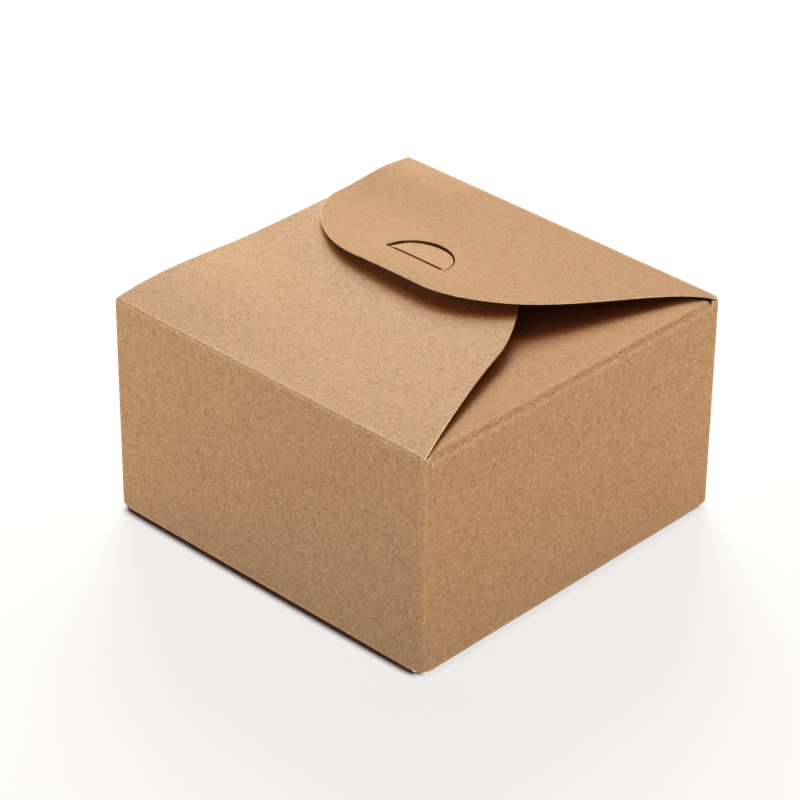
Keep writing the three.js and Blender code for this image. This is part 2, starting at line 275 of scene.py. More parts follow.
def crossings(corners, columns, rows):
    """The same along the straight lines from corner to corner, without the last corner."""
    corners = [np.array(corner, float) for corner in corners]
    points = []
    for start, end in zip(corners, corners[1:]):
        if np.linalg.norm(end - start) > 1e-6:
            points.extend(crossing(start, end, columns, rows))
    return np.array(points)


def inside(points, loop):
    """Which points lie inside a closed outline."""
    x, y = points[:, :1], points[:, 1:]
    x1, y1 = loop[:, 0], loop[:, 1]
    x2, y2 = np.roll(x1, -1), np.roll(y1, -1)
    with np.errstate(divide="ignore", invalid="ignore"):
        meets = (y1 > y) != (y2 > y)
        left = x < (x2 - x1) * (y - y1) / (y2 - y1) + x1
    return (meets & left).sum(1) % 2 == 1


def on_board(points, loops):
    covered = inside(points, loops[0])
    for hole in loops[1:]:
        covered &= ~inside(points, hole)
    return covered


def askew(points):
    """The box as it stands, a little out of square: its rear left corner leans out to the left."""
    share = ((points[:, 1] + HALF) / SIDE).clip(0, 1) ** 1.5 * ((HALF - points[:, 0]) / SIDE).clip(0, 1)
    moved = points.copy()
    moved[:, 0] -= OUT_OF_SQUARE * share
    return moved


def outward_normals(loop):
    """Unit vectors away from the board at each point of an outline that runs around it leftwards."""
    before = loop - np.roll(loop, 1, 0)
    after = np.roll(loop, -1, 0) - loop
    before /= np.linalg.norm(before, axis=1)[:, None]
    after /= np.linalg.norm(after, axis=1)[:, None]
    along = before + after
    along /= np.maximum(np.linalg.norm(along, axis=1), 1e-9)[:, None]
    return np.stack([along[:, 1], -along[:, 0]], 1)


def meshed(loops, columns, rows):
    """Triangles over an outline with holes: the points, the triangles and each loop's indices."""
    grid = np.array([(x, y) for x in columns for y in rows])
    rim = np.vstack(loops)
    grid = grid[on_board(grid, loops)]
    gaps = np.full(len(grid), np.inf)
    for point in rim:
        gaps = np.minimum(gaps, ((grid - point) ** 2).sum(1))
    grid = grid[gaps > CLEAR_OF_RIM**2]
    points = np.vstack([rim, grid])
    edges, first = [], 0
    for loop in loops:
        count = len(loop)
        edges.extend((first + i, first + (i + 1) % count) for i in range(count))
        first += count
    made, _, faces, sources, _, _ = delaunay_2d_cdt(
        [Vector(p) for p in points], edges, [], 0, 1e-5, True
    )
    made = np.array([tuple(p) for p in made])
    faces = np.array(faces)
    faces = faces[on_board(made[faces].mean(1), loops)]
    new_index = {old: new for new, olds in enumerate(sources) for old in olds}
    rings, first = [], 0
    for loop in loops:
        rings.append([new_index[first + i] for i in range(len(loop))])
        first += len(loop)
    return made, faces, rings


def broken_edges(points, rings, joined):
    """The cut edges around a sheet: how far each point of its faces draws in, and the edges' own points.

    The edges' points come with the indices of the face points that they belong to, and with their pairs of
    neighbours."""
    inset = np.zeros_like(points)
    edge_points, owners, pairs = [], [], []
    for ring in rings:
        loop = points[ring]
        away = outward_normals(loop)
        free = 1.0 - joined(loop[:, 0], loop[:, 1])
        jitter = [noise.noise(Vector((*p, 0)) / RIM_GRAIN) for p in loop]
        inset[ring] = -away * (RIM * free)[:, None]
        first, size = len(owners), len(ring)
        owners.extend(ring)
        edge_points.extend(loop + away * (RIM_ROUGHNESS * free * jitter)[:, None])
        pairs.extend((first + i, first + (i + 1) % size) for i in range(size))
    return inset, np.array(edge_points), owners, pairs


def sheet_mesh(name, vertices, faces, owners, pairs):
    """A closed mesh from the vertices of two faces and of the two rims between them."""
    rim_count = len(owners)
    count = (len(vertices) - 2 * rim_count) // 2
    first_rim, last_rim = 2 * count, 2 * count + rim_count
    polygons = [tuple(f) for f in faces] + [tuple(f[::-1] + count) for f in faces]
    slots = [0] * len(faces) + [1] * len(faces)
    for i, j in pairs:
        top_i, top_j = owners[i], owners[j]
        polygons.append((top_j, top_i, first_rim + i, first_rim + j))
        polygons.append((first_rim + j, first_rim + i, last_rim + i, last_rim + j))
        polygons.append((last_rim + j, last_rim + i, top_i + count, top_j + count))
        slots.extend((2, 2, 2))
    mesh = bpy.data.meshes.new(name)
    mesh.from_pydata(vertices.tolist(), [], polygons)
    mesh.polygons.foreach_set("material_index", np.array(slots, np.int32))
    tidy = bmesh.new()
    tidy.from_mesh(mesh)
    bmesh.ops.recalc_face_normals(tidy, faces=tidy.faces)
    tidy.to_mesh(mesh)
    tidy.free()
    mesh.polygons.foreach_set("use_smooth", np.ones(len(mesh.polygons), bool))
    mesh.set_sharp_from_angle(angle=SHADE_SMOOTH_BELOW)
    return mesh


def board_sheet(name, loops, columns, rows, place, blank, creases, joined):
    """A closed sheet of board.

    loops are its outline and holes in its own flat plane, and columns and rows the lines of its mesh.
    place(a, b, depth) gives the folded place, and blank(a, b) the place on the unfolded blank.
    creases(a, b) is 1 on a crease rubbed pale with painted light and -1 where a cut gets painted shade, and
    joined(a, b) says where its edge butts on another sheet."""
    points, faces, rings = meshed(loops, columns, rows)
    inset, edge_points, owners, pairs = broken_edges(points, rings, joined)
    count, rim_count = len(points), len(owners)
    flat = np.vstack([points + inset, points + inset, edge_points, edge_points])
    depth = np.repeat([0.0, BOARD, RIM, BOARD - RIM], [count, count, rim_count, rim_count])
    a, b = flat[:, 0], flat[:, 1]
    mesh = sheet_mesh(name, askew(place(a, b, depth)) * MM, faces, owners, pairs)
    on_blank = mesh.attributes.new("blank", "FLOAT_VECTOR", "POINT")
    on_blank.data.foreach_set("vector", np.stack([*blank(a, b), depth], 1).astype(np.float32).ravel())
    rub_light_and_shade_marks = creases(a, b).astype(np.float32)
    # the rims of holes get painted shade, for the dark gap of the cut
    in_holes = 2 * count + np.arange(len(rings[0]), rim_count)
    rub_light_and_shade_marks[in_holes] = rub_light_and_shade_marks[in_holes + rim_count] = -1.0
    rub_light_and_shade = mesh.attributes.new("rub_light_and_shade", "FLOAT", "POINT")
    rub_light_and_shade.data.foreach_set("value", rub_light_and_shade_marks)
    sheet = bpy.data.objects.new(name, mesh)
    bpy.context.scene.collection.objects.link(sheet)
    for material in (KRAFT_OUTSIDE_SHADED, KRAFT_INSIDE, CUT_EDGE_HIGHLIGHTED):
        mesh.materials.append(material)
    return sheet


def spread(low, high, step=GRID_STEP):
    """Evenly spaced lines strictly between two places."""
    count = max(1, round((high - low) / step))
    return list(np.linspace(low, high, count + 1)[1:-1])


def fold_lines(start, length):
    """Lines across a fold, with a few beside it."""
    across = list(np.linspace(start, start + length, FOLD_STEPS + 1))
    return [start - x for x in BESIDE_FOLD[::-1]] + across + [start + length + x for x in BESIDE_FOLD]


def ridge(x, centre, width):
    return np.exp(-(((x - centre) / width) ** 2))


def fold_rub_and_light(length, arc):
    """How pale a flap is at its crease, partly rubbed and partly painted light on the fold, fading out over
    the strip of wall below it.
    """
    return ridge(length, -arc / 2, arc / 2 + RUB_AND_LIGHT_BESIDE) * smoothstep((length + arc + STRIP) / STRIP)


# Materials

FIBRE_LENGTH = 2.6
FIBRE_WIDTH = 0.42
HAIR_CURL = 1.2  # a single fibre is bent to either side by up to this much
HAIR_ENDS = (0.28, 0.45)  # and fades between these shares of the spacing
DARKER_IS_REDDER = (0.85, 1.1, 1.35)  # how strongly each channel follows the board's light and dark
DARKEST = (0.1, 0.06, 0.04)
BUMP_HEIGHT = 0.06 * MM
ROUGHNESS = (0.86, 0.96)
TONE_FADE = 0.5  # past its crease a flap has its own tone after this length, in millimetres
# Angles and densities of the two kinds of streaks
PALE_STREAKS = ((0.35, 0.56), (1.5, 0.58), (2.55, 0.57))
DARK_STREAKS = ((0.95, 0.58), (2.0, 0.6), (2.95, 0.59))
# Spacing, width and shift of the single fibres' patterns, and how many of their places are taken
PALE_HAIRS = ((1.7, 0.15, 0.3, 0.8), (2.4, 0.17, 7.7, 0.8))
DARK_HAIRS = ((1.3, 0.14, 3.1, 0.4), (4.0, 0.13, 5.3, 0.1))
# How strongly each pattern lightens or darkens the board, and how high it stands
CLOUDS = {"cloud": 0.12, "pulp": 0.4, "grain": 0.65, "fine": 1.0}
FIBRES = {"pale": 0.1, "dark": -0.1, "flecks": -0.42, "pale_hairs": 0.2, "dark_hairs": -0.25}
# The pale on creases is partly rubbed fibres and partly painted light; the dark in cuts is painted shade
MARKS = {"rubbed_and_lit": 0.4, "specks": -0.75, "shade_in_cuts": -0.7}
RELIEF = {
    "pale": 0.4, "pale_hairs": 0.9, "dark_hairs": 0.9, "dark": 0.3,
    "flecks": -0.5, "pulp": 0.8, "rubbed_and_lit": 0.7,
}


def linear(value):
    """An 8-bit sRGB value as the renderer's linear one."""
    share = value / 255
    return share / 12.92 if value < 11 else ((share + 0.055) / 1.055) ** 2.4


def srgb(red, green, blue):
    return tuple(linear(value) for value in (red, green, blue))


def empty_tree(owner):
    """The node tree of a new material or world, without its first nodes."""
    owner.use_nodes = True
    owner.node_tree.nodes.clear()
    return owner.node_tree


def node_of(tree, kind, settings=None, inputs=None):
    """A new shader node with its settings, and its inputs set to values or linked to other nodes."""
    node = tree.nodes.new("ShaderNode" + kind)
    for key, value in (settings or {}).items():
        setattr(node, key, value)
    for key, value in (inputs or {}).items():
        if isinstance(value, bpy.types.NodeSocket):
            tree.links.new(value, node.inputs[key])
        else:
            node.inputs[key].default_value = value
    return node


def maths(tree, operation, first, second=0.0, third=0.0):
    node = node_of(tree, "Math", {"operation": operation}, {0: first, 1: second, 2: third})
    return node.outputs[0]


def vector_maths(tree, operation, *vectors):
    node = node_of(tree, "VectorMath", {"operation": operation}, dict(enumerate(vectors)))
    return node.outputs[0]


def strongest(tree, signals):
    """The largest of several signals from 0 up."""
    largest = 0.0
    for signal in signals:
        largest = maths(tree, "MAXIMUM", largest, signal)
    return largest


def weighted(tree, total, patterns, weights, middle=0.0, strength=1.0):
    """A value with patterns added to it, each by its weight and counted from its middle."""
    for name, weight in weights.items():
        pattern = patterns[name]
        if middle:
            pattern = maths(tree, "SUBTRACT", pattern, middle)
        total = maths(tree, "MULTIPLY_ADD", pattern, weight * strength, total)
    return total


def ramp(tree, value, low, high, to_low=0.0, to_high=1.0):
    node = node_of(tree, "MapRange", {"interpolation_type": "SMOOTHSTEP"}, {
        "Value": value, "From Min": low, "From Max": high, "To Min": to_low, "To Max": to_high,
    })
    return node.outputs["Result"]


def colour_mix(tree, factor, first, second):
    """One colour at a factor of 0, another at 1."""
    node = node_of(tree, "Mix", {"data_type": "RGBA"}, {
        "Factor": factor, "A": (*first, 1), "B": (*second, 1),
    })
    return node.outputs["Result"]


def clouds(tree, place, scale, detail=2.0, roughness=0.5):
    """A soft irregular pattern around 0.5."""
    return node_of(tree, "TexNoise", None, {
        "Vector": place, "Scale": scale, "Detail": detail, "Roughness": roughness,
    }).outputs["Fac"]


def rotated(tree, place, angle):
    turned = node_of(tree, "VectorRotate", {"rotation_type": "Z_AXIS"}, {"Vector": place, "Angle": angle})
    return turned.outputs[0]


def scattered(tree, place, scale):
    """Cells around scattered points: the point's distance and place, and three chances of its own."""
    cells = node_of(tree, "TexVoronoi", {"voronoi_dimensions": "2D", "feature": "F1"}, {
        "Vector": place, "Scale": scale, "Randomness": 1.0,
    }).outputs
    chance = node_of(tree, "SeparateColor", None, {"Color": cells["Color"]}).outputs
    return cells["Distance"], cells["Position"], chance


def streaks(tree, place, angle, density):
    """Thin curved streaks that lie roughly along one direction: 1 on a streak, 0 between."""
    turned = rotated(tree, place, angle)
    drawn = vector_maths(tree, "MULTIPLY", turned, (1 / FIBRE_LENGTH, 1 / FIBRE_WIDTH, 1.0))
    pattern = node_of(tree, "TexNoise", {"noise_dimensions": "3D"}, {
        "Vector": drawn, "Scale": 1.0, "Detail": 1.0, "Roughness": 0.35, "Distortion": 0.5,
    })
    return ramp(tree, pattern.outputs["Fac"], density, density + 0.1)


def hairs(tree, blank, spacing, width, shift, share):
    """Single short curved fibres at random angles: 1 on a fibre, 0 between."""
    place = vector_maths(
        tree, "MULTIPLY_ADD", blank, (1 / spacing, 1 / spacing, 1 / spacing), (shift, 2 * shift, 0.0)
    )
    _, centre, chance = scattered(tree, place, 1.0)
    local = vector_maths(tree, "SUBTRACT", place, centre)
    turned = rotated(tree, local, maths(tree, "MULTIPLY", chance["Red"], 2 * math.pi))
    parts = node_of(tree, "SeparateXYZ", None, {"Vector": turned})
    along, across = parts.outputs["X"], parts.outputs["Y"]
    bend = maths(tree, "MULTIPLY_ADD", chance["Green"], 2 * HAIR_CURL, -HAIR_CURL)
    curl = maths(tree, "MULTIPLY", maths(tree, "MULTIPLY", along, along), bend)
    off_line = maths(tree, "ABSOLUTE", maths(tree, "SUBTRACT", across, curl))
    on_line = ramp(tree, off_line, 0.4 * width / spacing, width / spacing, to_low=1.0, to_high=0.0)
    reach = ramp(tree, maths(tree, "ABSOLUTE", along), *HAIR_ENDS, to_low=1.0, to_high=0.0)
    chosen = maths(tree, "LESS_THAN", chance["Blue"], share)
    return maths(tree, "MULTIPLY", maths(tree, "MULTIPLY", on_line, reach), chosen)


def dots(tree, blank, scale, small, large, share):
    """Round spots scattered over the board, scale of them to a millimetre, on a share of their places."""
    distance, _, chance = scattered(tree, blank, scale)
    radius = maths(tree, "MULTIPLY_ADD", chance["Green"], (large - small) * scale, small * scale)
    within = maths(tree, "SUBTRACT", radius, distance)
    chosen = maths(tree, "LESS_THAN", chance["Red"], share)
    return maths(tree, "MULTIPLY", ramp(tree, within, -0.05 * scale, 0.05 * scale), chosen)


def board_patterns(tree, blank, rub_light_and_shade):
    """Everything that marks the board, by name."""
    warp = node_of(tree, "TexNoise", None, {"Vector": blank, "Scale": 0.45, "Detail": 1.0})
    bend = vector_maths(tree, "MULTIPLY", warp.outputs["Color"], (2.5, 2.5, 2.5))
    place = vector_maths(tree, "ADD", blank, bend)
    lively = ramp(tree, clouds(tree, blank, scale=0.3, detail=1.0), 0.3, 0.65, to_low=0.35)
    pale = strongest(tree, [streaks(tree, place, angle, density) for angle, density in PALE_STREAKS])
    dark = strongest(tree, [streaks(tree, place, angle, density) for angle, density in DARK_STREAKS])
    pale_hairs = [hairs(tree, blank, *hair) for hair in PALE_HAIRS]
    dark_hairs = [hairs(tree, blank, *hair) for hair in DARK_HAIRS]
    grain = clouds(tree, blank, scale=2.6, detail=2.0, roughness=0.7)
    # pale where creases are rubbed, and painted light on the folds' turns
    crease = maths(tree, "MAXIMUM", rub_light_and_shade, 0.0)
    return {
        "cloud": clouds(tree, blank, scale=0.1, detail=3.0, roughness=0.6),
        "pulp": clouds(tree, place, scale=0.9, detail=2.0, roughness=0.7),
        "grain": grain,
        "fine": clouds(tree, blank, scale=4.4, detail=1.0),
        "pale": maths(tree, "MULTIPLY", pale, lively),
        "dark": maths(tree, "MULTIPLY", dark, lively),
        "flecks": dots(tree, blank, scale=0.6, small=0.07, large=0.18, share=0.3),
        "specks": dots(tree, blank, scale=0.05, small=0.16, large=0.28, share=0.4),
        "pale_hairs": strongest(tree, pale_hairs),
        "dark_hairs": strongest(tree, dark_hairs),
        "rubbed_and_lit": maths(tree, "MULTIPLY", crease, maths(tree, "MULTIPLY_ADD", grain, 5.0, -1.8)),
        # painted shade in cuts, in the scored line and at the tongue's tip
        "shade_in_cuts": maths(tree, "MAXIMUM", maths(tree, "MULTIPLY", rub_light_and_shade, -1.0), 0.0),
    }


def tinted(tree, blank, colour):
    """The board's colour, a little warmer in some places than in others."""
    red, green, blue = colour
    cool = (red * 0.993, green * 1.003, blue * 0.982)
    warm = (red * 1.007, green * 0.997, blue * 1.018)
    return colour_mix(tree, ramp(tree, clouds(tree, blank, scale=0.4), 0.35, 0.65), cool, warm)


def kraft(name, colour, contrast, relief, flap=None):
    """Kraft board: mottled pulp with pale and dark fibres, a few specks, creases pale with rubbing and
    painted light, and painted shade in cuts.

    A flap's board is like the walls' up to its crease, and turns into its own colour and contrast over it.
    The walls' colour is darkened as painted shade."""
    material = bpy.data.materials.new(name)
    tree = empty_tree(material)
    blank = node_of(tree, "Attribute", {"attribute_name": "blank"}).outputs["Vector"]
    rub_light_and_shade = node_of(tree, "Attribute", {"attribute_name": "rub_light_and_shade"}).outputs["Fac"]
    patterns = board_patterns(tree, blank, rub_light_and_shade)
    value = weighted(tree, 1.0, patterns, CLOUDS, 0.5, contrast)
    value = weighted(tree, value, patterns, FIBRES, 0.0, contrast)
    value = weighted(tree, value, patterns, MARKS)
    change = maths(tree, "SUBTRACT", value, 1.0)
    base = tinted(tree, blank, colour)
    if flap is not None:
        start = flap.seam + STRIP
        end = start + flap.arc + TONE_FADE
        height_on_blank = node_of(tree, "SeparateXYZ", None, {"Vector": blank}).outputs["Y"]
        as_shaded_walls = [wall / own for wall, own in zip(SHADED_WALL_COLOUR, colour)]
        shaded_tone = colour_mix(tree, ramp(tree, height_on_blank, start, end), as_shaded_walls, (1, 1, 1))
        base = vector_maths(tree, "MULTIPLY", base, shaded_tone)
        steady = ramp(tree, height_on_blank, start, end, WALL_CONTRAST / contrast, 1.0)
        change = maths(tree, "MULTIPLY", change, steady)
    scaled = vector_maths(tree, "MULTIPLY_ADD", change, DARKER_IS_REDDER, (1.0, 1.0, 1.0))
    shaded = vector_maths(tree, "MULTIPLY", base, vector_maths(tree, "MAXIMUM", scaled, DARKEST))
    height = weighted(tree, patterns["grain"], patterns, RELIEF)
    bump = node_of(tree, "Bump", None, {
        "Height": height, "Strength": relief, "Distance": BUMP_HEIGHT,
    })
    shader = node_of(tree, "BsdfPrincipled", None, {
        "Base Color": shaded,
        "Roughness": ramp(tree, patterns["pulp"], 0.3, 0.7, *ROUGHNESS),
        "Normal": bump.outputs[0],
        "Specular IOR Level": 0.25,
    })
    out = node_of(tree, "OutputMaterial", None, {"Surface": shader.outputs[0]})
    out.is_active_output = True
    return material


# Painted shade: the walls' board is darker than the same board on the front flap, so that walls facing the
# key light stay below white
SHADED_WALL_COLOUR = srgb(186, 148, 113)
WALL_CONTRAST = 1.25
KRAFT_OUTSIDE_SHADED = kraft("kraft_outside", SHADED_WALL_COLOUR, WALL_CONTRAST, 0.8)
KRAFT_INSIDE = kraft("kraft_inside", srgb(200, 160, 123), 1.1, 0.9)
# Cut edges are paler than the faces, and made paler still as a painted highlight along the free edges
CUT_EDGE_HIGHLIGHTED = kraft("cut_edge_highlighted", srgb(251, 226, 190), 0.9, 0.9)


# The wall strip: the glue tab, the left, front, right and back walls, in one piece

RUNS = (TAB_RUN, LEFT_RUN, FULL_RUN, FULL_RUN, BACK_RUN)


def strip_lines():
    """Where each straight run of the strip starts, in plan: length along the strip, point and heading."""
    length, point, heading = 0.0, vec(TAB_END, TAB_FACE), math.pi
    lines = []
    for run in RUNS:
        along = vec(math.cos(heading), math.sin(heading))
        lines.append((length, run, point, heading))
        point = point + along * run + along * CORNER_RADIUS + vec(-along[1], along[0]) * CORNER_RADIUS
        length += run + CORNER_RUN
        heading += math.pi / 2
    return lines


STRIP_LINES = strip_lines()


def strip_place(along, height, depth):
    """A point of the wall strip, at its length along the strip, its height and its depth in the board."""
    x, y = np.zeros_like(along), np.zeros_like(along)
    nx, ny = np.zeros_like(along), np.zeros_like(along)
    for length, run, point, heading in STRIP_LINES:
        here = (along >= length) | (length == 0)
        past = np.clip(along - length - run, 0, CORNER_RUN)
        turn = heading + past / CORNER_RADIUS
        on_run = np.minimum(along - length, run)
        cos, sin = math.cos(heading), math.sin(heading)
        centre_x = point[0] + cos * on_run - sin * CORNER_RADIUS
        centre_y = point[1] + sin * on_run + cos * CORNER_RADIUS
        x[here] = (centre_x + CORNER_RADIUS * np.sin(turn))[here]
        y[here] = (centre_y - CORNER_RADIUS * np.cos(turn))[here]
        nx[here], ny[here] = np.sin(turn)[here], -np.cos(turn)[here]
    lift = wall_bow(along, height) - depth
    return np.stack([x + nx * lift, y + ny * lift, height], 1)


WALL_SWELL = curve_through((0, 0), (1.5, 0.12), (5, 0.33), (14, 0.45), (30, 0.3), (46, 0.08), (52, 0))


def wall_bow(along, height):
    """How far each wall stands out of its plane: a little fuller above its foot, and tucked in below it."""
    share = np.zeros_like(along)
    for length, run, _, _ in STRIP_LINES[1:]:
        t = np.clip((along - length) / run, 0, 1)
        share = np.maximum(share, np.sin(math.pi * t) ** 0.7)
    return WALL_SWELL(height) * share


def fold_path(radius, rise, corner):
    """A sheet's section up a wall and over a crease, by length from the crease's inner end.

    It gives the distance inwards, the height and the outward normal. rise is the flap's angle above level,
    and corner the height at which the two faces would meet without the fold."""
    turn = math.pi / 2 - rise
    reach = radius * math.tan(turn / 2)
    arc = radius * turn

    def path(length):
        angle = np.clip((length + arc) / radius, 0, turn)
        nx, nz = -np.cos(angle), np.sin(angle)
        before, after = np.minimum(length + arc, 0), np.maximum(length, 0)
        x = radius + radius * nx + after * math.cos(rise)
        z = corner - reach + radius * nz + before + after * math.sin(rise)
        return x, z, nx, nz

    return path, arc, reach


class Flap:
    """The fold and plane of a flap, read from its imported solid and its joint."""

    def __init__(self, node, wall, radius):
        self.node, self.wall = node, wall
        joint = JOINTS[node]
        hinge = vec(*joint["pos_m"]) / MM
        normal, self.loops = face_loops(node, (0, 0, 1))
        self.rise = math.atan2(-normal @ wall.inward, normal @ UP)
        self.direction = wall.inward * math.cos(self.rise) + UP * math.sin(self.rise)
        offset = (self.loops[0][0] - hinge) @ normal
        foot = hinge + offset * normal
        corner = foot[2] - (foot - wall.origin) @ wall.inward * math.tan(self.rise)
        self.path, self.arc, self.reach = fold_path(radius, self.rise, corner)
        x, z, _, _ = self.path(np.zeros(1))
        self.crease_end = wall.origin + wall.inward * x[0] + UP * (z[0] - wall.origin[2])
        self.root_gap = (self.crease_end - foot) @ self.direction
        self.foot = foot
        self.seam = corner - self.reach - STRIP

    def flat(self, points):
        """Points of the solid as (along the wall, length from the crease's inner end)."""
        from_foot = points - self.foot
        along = (points - self.wall.origin) @ self.wall.along
        return np.stack([along, from_foot @ self.direction - self.root_gap], 1)

    def place(self, bow):
        wall, path = self.wall, self.path

        def placed(along, length, depth):
            x, z, nx, nz = path(length)
            lift = bow(along, length) - depth
            return (
                wall.origin
                + along[:, None] * wall.along
                + (x + nx * lift)[:, None] * wall.inward
                + (z + nz * lift)[:, None] * UP
            )

        return placed


def flap_sheet(name, flap, notch, bow):
    """A flap's sheet, from its strip of wall over the crease to its free edge."""
    outline, *holes = [flap.flat(loop) for loop in flap.loops]
    root_end = ROOT_END - flap.root_gap
    outline = np.roll(outline, -int(np.argmax(outline[:, 1] < root_end)), 0)
    low, high = outline[:, 0].min(), outline[:, 0].max()
    kept = outline[outline[:, 1] > root_end]
    free = redrawn(np.vstack([(high, 0), kept, (low, 0)]), False)
    foot = -flap.arc - STRIP
    rows = [foot] + fold_lines(-flap.arc, flap.arc)[1:] + spread(1.2, free[:, 1].max())
    columns = spread(low, high)
    root = [
        (low, 0), (low + notch, -flap.arc), (low + notch, foot),
        (high - notch, foot), (high - notch, -flap.arc), (high, 0),
    ]
    outer = np.vstack([crossings(root, columns, rows), free[:-1]])
    loops = [outer] + [redrawn(hole, True) for hole in holes]

    def blank(along, length):
        return flap.wall.start + along, flap.seam + STRIP + flap.arc + length

    def creases(along, length):
        return fold_rub_and_light(length, flap.arc)

    def joined(along, length):
        return (length < foot + ON_LINE).astype(float)

    return board_sheet(name, loops, columns, rows, flap.place(bow), blank, creases, joined)


FRONT_FLAP = Flap("front_lock_flap", FRONT, LOCK_RADIUS)
REAR_FLAP = Flap("rear_lock_flap", BACK, LOCK_RADIUS)
LEFT_DUST = Flap("left_dust_flap", LEFT, DUST_RADIUS)
RIGHT_DUST = Flap("right_dust_flap", RIGHT, DUST_RADIUS)
BASE_SEAM = BASE_RADIUS + STRIP

FRONT_KRAFT = kraft("kraft_front_flap", srgb(207, 167, 130), 1.0, 0.8, FRONT_FLAP)
# Painted shade: the rear flap's board is darker than the front flap's, where less light falls towards the
# back
REAR_KRAFT_SHADED = kraft("kraft_rear_flap_shaded", srgb(195, 152, 112), 0.65, 0.6, REAR_FLAP)
# Painted shade: the dust flaps' board is darker and redder than the front flap's, as if lying in the lock
# flaps' shadow
DUST_KRAFT_SHADED = kraft("kraft_dust_flaps_shaded", srgb(183, 137, 96), 1.05, 0.8, RIGHT_DUST)


# How the flaps bow: the height of the board above its plane, by the length from its crease
FRONT_HUMP = curve_through(
    (0, 0), (7, 0.8), (14, 1.07), (25, 0.75), (38, -0.05), (52, -0.28), (75, -0.32)
)
FRONT_SAG = curve_through((0, 0), (8, -0.05), (30, -0.65), (52, -1.35), (75, -1.6))
REAR_LEFT = curve_through((0, 0), (5, 0.4), (9, 0.55), (15, 0.05), (21, -0.53), (33, -0.56), (46, -0.35))
REAR_MIDDLE = curve_through((0, 0), (10, -0.35), (20, -0.4), (30, -0.1), (46, 0.75))
REAR_RIGHT = curve_through((0, 0), (10, -0.25), (20, -0.45), (30, -0.55), (46, -0.4))
DUST_SAG = curve_through(
    (0, 0), (4, -0.3), (8, -0.65), (12, -0.95), (18, -1.35), (24, -1.65), (30, -2.0), (39, -2.6)
)
LEFT_DUST_PRESSED = 0.35
MIDDLE_END = 8.0  # along its wall the rear flap leaves its middle form from here on


def front_bow(along, length):
    """The front lock flap springs up past its crease at its left side, and sags under the rear one."""
    share = smoothstep((along + HALF) / (0.5 * SIDE))
    return FRONT_HUMP(length) * (1 - share) + FRONT_SAG(length) * share


def rear_bow(along, length):
    """The rear lock flap springs up past its crease and comes down to the front one at its left side."""
    left = smoothstep((along - MIDDLE_END) / (HALF - MIDDLE_END))
    right = smoothstep(-along / HALF)
    return REAR_LEFT(length) * left + REAR_RIGHT(length) * right + REAR_MIDDLE(length) * (1 - left - right)


def away_from_corners(along):
    return 1 - (along / HALF) ** 6


def dust_bow(along, length):
    """A dust flap sags towards its end, but stays up at the box's corners."""
    return DUST_SAG(length) * away_from_corners(along)


def left_dust_bow(along, length):
    """The left dust flap's crease is also pressed down by the lock flaps over it."""
    pressed = LEFT_DUST_PRESSED * smoothstep((length + 2.5) / 2.5)
    return dust_bow(along, length) - pressed * away_from_corners(along)


def wall_outline():
    """The wall strip's outline on the unfolded blank: length along the strip and height."""
    corner_top = FRONT_FLAP.seam + STRIP
    dust_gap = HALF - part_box("right_dust_flap")[1].y / MM
    lock_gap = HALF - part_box("front_lock_flap")[1].x / MM + CORNER_NOTCH
    lower = [(TAB_RUN + CORNER_RUN / 2, CORNER_RISE)]
    upper = []
    for wall, seam, gap in (
        (LEFT, LEFT_DUST.seam, dust_gap),
        (FRONT, FRONT_FLAP.seam, lock_gap),
        (RIGHT, RIGHT_DUST.seam, dust_gap),
        (BACK, REAR_FLAP.seam, lock_gap),
    ):
        begin, end = wall.start - HALF + CORNER_CUT, wall.start + HALF - CORNER_CUT
        lower.extend([(begin, CORNER_FOOT), (begin, BASE_SEAM), (end, BASE_SEAM), (end, CORNER_FOOT)])
        if wall is BACK:
            lower.append((STRIP_END, CORNER_FOOT))
        else:
            lower.append((wall.start + FULL_RUN / 2 + CORNER_RUN / 2, CORNER_RISE))
        begin, end = wall.start - HALF + gap, wall.start + HALF - gap
        upper.extend([(begin, corner_top), (begin, seam), (end, seam), (end, corner_top)])
    tab = [
        (TAB_RUN + CORNER_RUN / 2, TAB_HIGH), (TAB_RUN, TAB_HIGH), (0, TAB_HIGH - TAB_SLANT),
        (0, TAB_LOW + TAB_SLANT), (TAB_RUN, TAB_LOW), (TAB_RUN + CORNER_RUN / 2, TAB_LOW),
    ]
    return lower + [(STRIP_END, corner_top)] + upper[::-1] + tab


def wall_sheet():
    """The four walls and the glue tab, one strip with four upright folds."""
    columns = [TAB_RUN / 2]
    for length, run, _, _ in STRIP_LINES[:-1]:
        columns.extend(fold_lines(length + run, CORNER_RUN))
    for length, run, _, _ in STRIP_LINES[1:]:
        columns.extend(spread(length + BESIDE_CORNER, length + run - BESIDE_CORNER))
    rows = [*FOOT_ROWS, BASE_SEAM + 0.5, *spread(*MIDDLE_ROWS), *TOP_ROWS]
    corners = wall_outline()
    outline = crossings(corners + corners[:1], columns, rows)

    def blank(along, height):
        return along, height

    def creases(along, height):
        folds = [length + run + CORNER_RUN / 2 for length, run, _, _ in STRIP_LINES[:-1]]
        # paler along the upright folds: partly rubbed, partly a painted highlight on the fold's ridge
        return 0.4 * np.max([ridge(along, fold, 1.0) for fold in folds], 0)

    def joined(along, height):
        at_seam = np.abs(height - BASE_SEAM) < ON_LINE
        for wall, flap in ((LEFT, LEFT_DUST), (FRONT, FRONT_FLAP), (RIGHT, RIGHT_DUST), (BACK, REAR_FLAP)):
            at_seam |= (np.abs(height - flap.seam) < ON_LINE) & (np.abs(along - wall.start) < HALF)
        return at_seam.astype(float)

    sheet = board_sheet("wall_strip", [outline], columns, rows, strip_place, blank, creases, joined)
    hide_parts("front_wall", "right_wall", "back_wall", "left_wall", "seam_tab")
    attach(sheet, "box_body")


